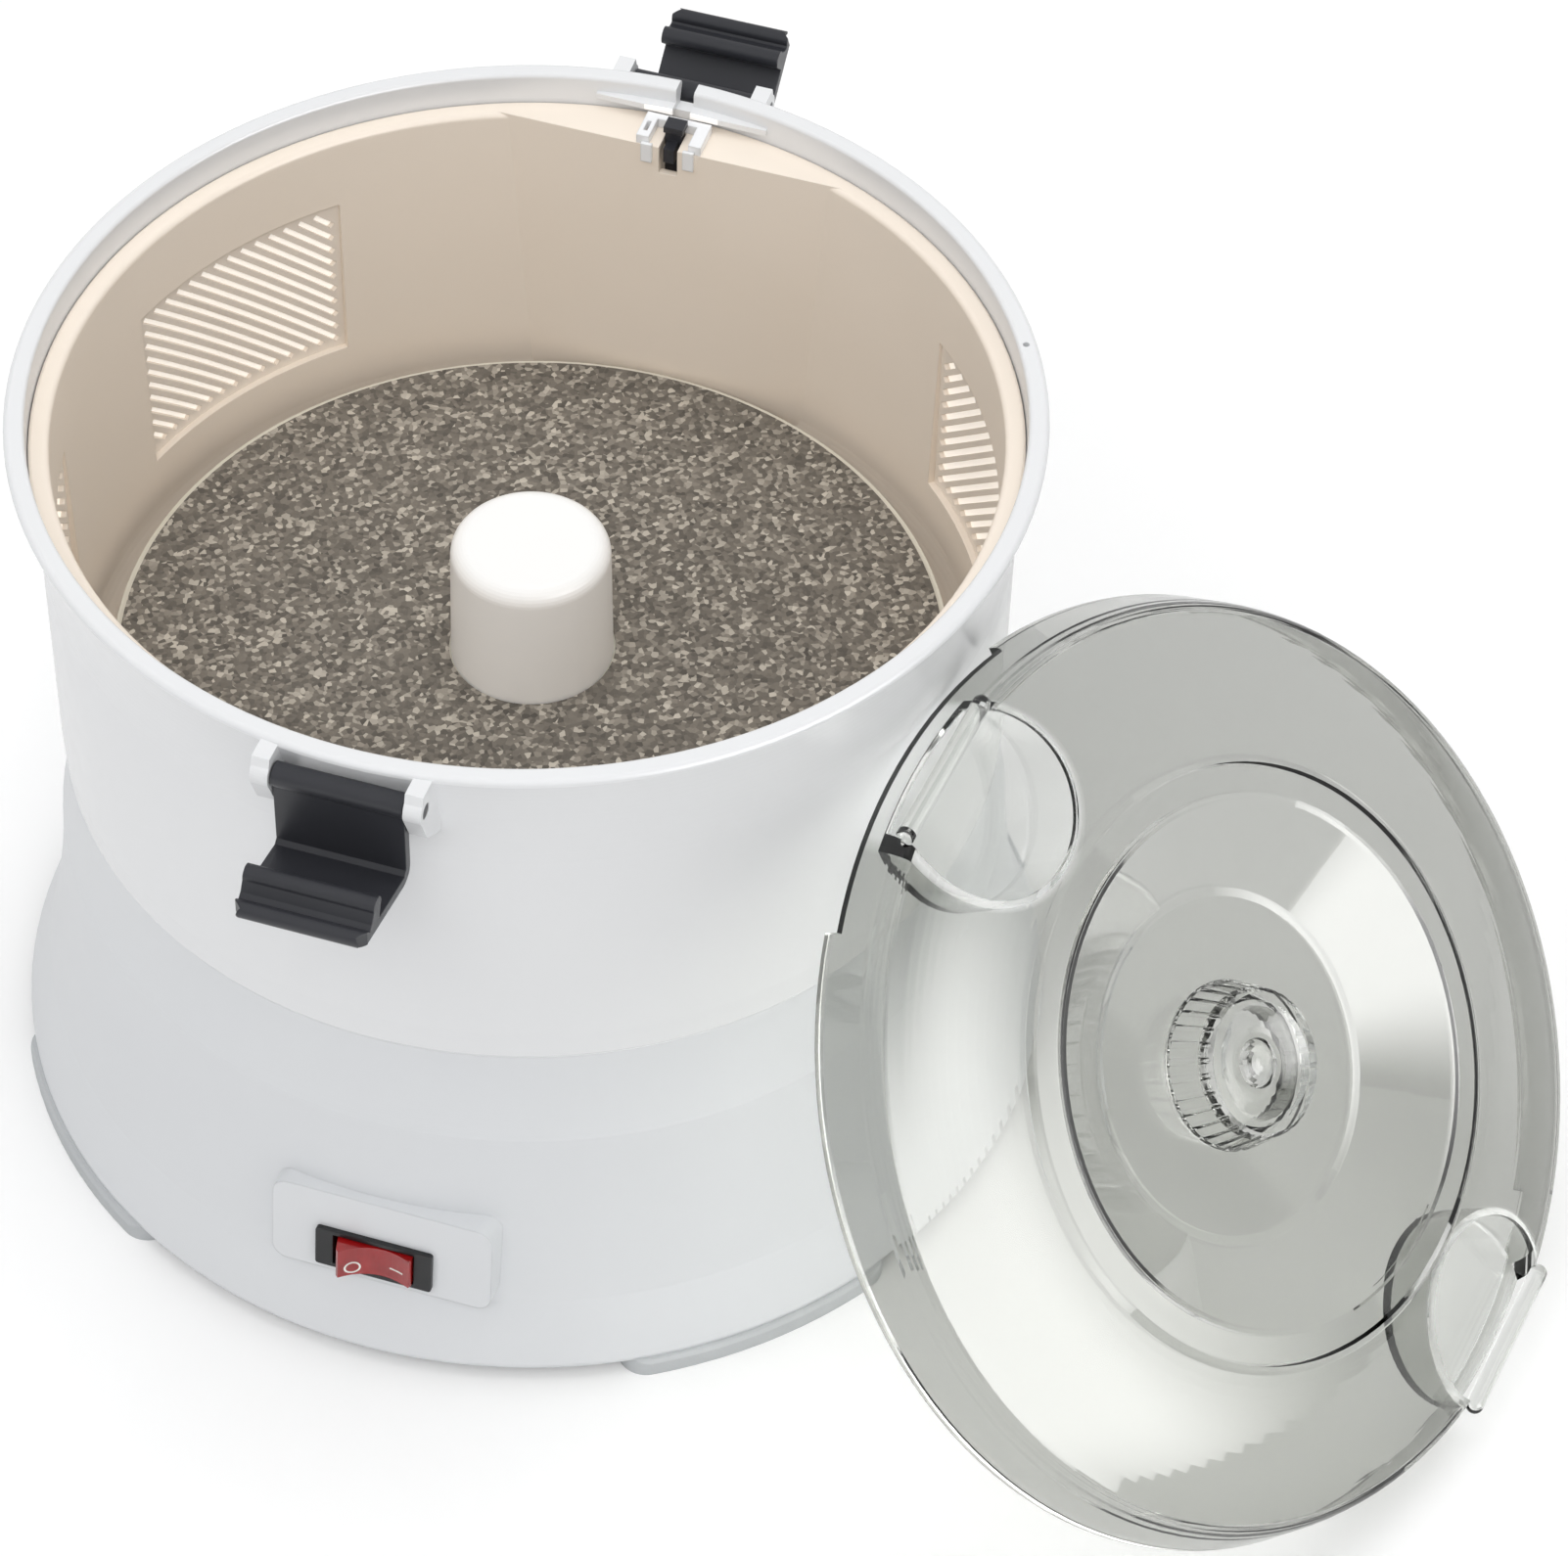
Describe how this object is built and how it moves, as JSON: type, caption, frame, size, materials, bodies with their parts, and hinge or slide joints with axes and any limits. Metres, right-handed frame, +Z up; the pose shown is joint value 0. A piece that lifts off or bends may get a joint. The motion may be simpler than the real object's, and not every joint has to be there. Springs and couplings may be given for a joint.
{
  "type": "electric potato peeler",
  "caption": "Round tabletop potato peeler: a motor base, a lift-off bowl with an abrasive turning disc and post, hinged latches, a rocker switch and a clear domed lid leaning beside it.",
  "frame": {"origin": "on the body's axis at the flat underside of the base plate's middle, 2.4 mm under which the feet meet the floor at z = 0", "axes": "+Z up along the body's axis, -Y towards the front with the switch, +X to the side where the lid leans"},
  "size_m": [0.4021, 0.3143, 0.205],
  "materials": {
    "bowl_white": "moulded, glossy",
    "base_white": "moulded, satin",
    "tub_white": "moulded, satin",
    "foot_grey": "matt",
    "plate_grey": "moulded, matt",
    "disc_white": "moulded, matt",
    "post_white": "moulded, glossy",
    "grit_grey": "bonded grit",
    "latch_dark": "moulded, satin",
    "frame_black": "moulded, matt",
    "rocker_red": "clear red",
    "lamp_orange": "glowing",
    "lid_clear": "clear, smoky",
    "gear_nylon": "moulded, matt",
    "fan_white": "moulded, matt",
    "cap_dark": "moulded, matt",
    "steel": "turned",
    "plate_steel": "zinc plated",
    "screw_steel": "zinc plated",
    "spring_steel": "drawn wire",
    "ferrite": "sintered",
    "bronze": "sintered",
    "brass": "plain",
    "copper": "plain",
    "carbon": "pressed",
    "button_red": "moulded",
    "gland_black": "matt"
  },
  "bodies": {
    "base": {"base_shell": "base_white", "base_plate": "plate_grey", "feet": "foot_grey", "base_screws": "screw_steel", "switch_frame": "frame_black", "switch_contacts": "brass", "pilot_lamp": "lamp_orange", "gearbox_plate": "plate_steel", "gearbox_screws": "screw_steel", "drive_bushes": "bronze", "idler_pin": "steel", "motor_can": "plate_steel", "motor_cap": "cap_dark", "field_magnets": "ferrite", "motor_bushes": "bronze", "motor_brushes": "carbon", "interlock_switch": "cap_dark", "cord_gland": "gland_black"},
    "rocker": {"rocker": "rocker_red"},
    "drive": {"drive_gear": "gear_nylon", "drive_shaft": "steel"},
    "idler": {"idler_gear": "gear_nylon"},
    "rotor": {"motor_shaft": "steel", "armature": "copper", "commutator": "copper", "motor_pinion": "brass", "cooling_fan": "fan_white"},
    "interlock_button": {"interlock_button": "button_red"},
    "bowl": {"upper_housing": "bowl_white", "bowl_rim": "bowl_white", "tub": "tub_white", "strainers": "tub_white", "tub_screws": "screw_steel", "spindle_bush": "bronze", "interlock_bracket": "post_white", "interlock_spring": "spring_steel"},
    "interlock_rod": {"interlock_rod": "latch_dark"},
    "spindle": {"spindle": "disc_white"},
    "disc": {"disc_hub": "disc_white", "disc_plate": "disc_white", "abrasive_sheet": "grit_grey", "centre_post": "post_white"},
    "latch_front": {"latch_front": "latch_dark"},
    "latch_rear": {"latch_rear": "latch_dark"},
    "lid": {"lid": "lid_clear"}
  },
  "joints": [
    {"name": "rocker_tilt", "type": "hinge", "parent": "base", "child": "rocker", "pos_m": [0.0025, -0.12205, 0.03405], "axis": [0, -0.134, -0.991], "range_deg": [0, 18]},
    {"name": "drive_spin", "type": "hinge", "parent": "base", "child": "drive", "pos_m": [0, 0, 0.08], "axis": [0, 0, 1], "continuous": true},
    {"name": "idler_spin", "type": "hinge", "parent": "base", "child": "idler", "pos_m": [0.03936, 0.02182, 0.08], "axis": [0, 0, 1], "continuous": true},
    {"name": "rotor_spin", "type": "hinge", "parent": "base", "child": "rotor", "pos_m": [0.05995, 0, 0.05], "axis": [0, 0, 1], "continuous": true},
    {"name": "bowl_lift", "type": "slide", "parent": "base", "child": "bowl", "axis": [0, 0, 1], "range_m": [0, 0.12]},
    {"name": "spindle_spin", "type": "hinge", "parent": "bowl", "child": "spindle", "pos_m": [0, 0, 0.11], "axis": [0, 0, 1], "continuous": true},
    {"name": "disc_lift", "type": "slide", "parent": "spindle", "child": "disc", "axis": [0, 0, 1], "range_m": [0, 0.12]},
    {"name": "latch_front_swing", "type": "hinge", "parent": "bowl", "child": "latch_front", "pos_m": [0, -0.124, 0.1988], "axis": [-1, 0, 0], "range_deg": [0, 180]},
    {"name": "latch_rear_swing", "type": "hinge", "parent": "bowl", "child": "latch_rear", "pos_m": [0, 0.124, 0.1988], "axis": [1, 0, 0], "range_deg": [-26, 154]},
    {"name": "interlock_press", "type": "slide", "parent": "bowl", "child": "interlock_rod", "axis": [0, 0, -1], "range_m": [0, 0.0024], "stiffness_N_per_m": 400, "springref_m": -0.002, "deforming": ["interlock_spring"]},
    {"name": "button_press", "type": "slide", "parent": "base", "child": "interlock_button", "axis": [0, 0, -1], "range_m": [0, 0.0025], "stiffness_N_per_m": 300, "springref_m": -0.001},
    {"name": "lid_off", "type": "slide", "parent": "base", "child": "lid", "axis": [0.7142, -0.2543, 0.6521], "range_m": [0, 0.2]}
  ],
  "couplings": [
    {"joint": "idler_spin", "follows": "rotor_spin", "ratio": -0.33333},
    {"joint": "drive_spin", "follows": "rotor_spin", "ratio": 0.095238},
    {"joint": "spindle_spin", "follows": "rotor_spin", "ratio": 0.095238},
    {"joint": "button_press", "follows": "interlock_press", "ratio": 1}
  ]
}
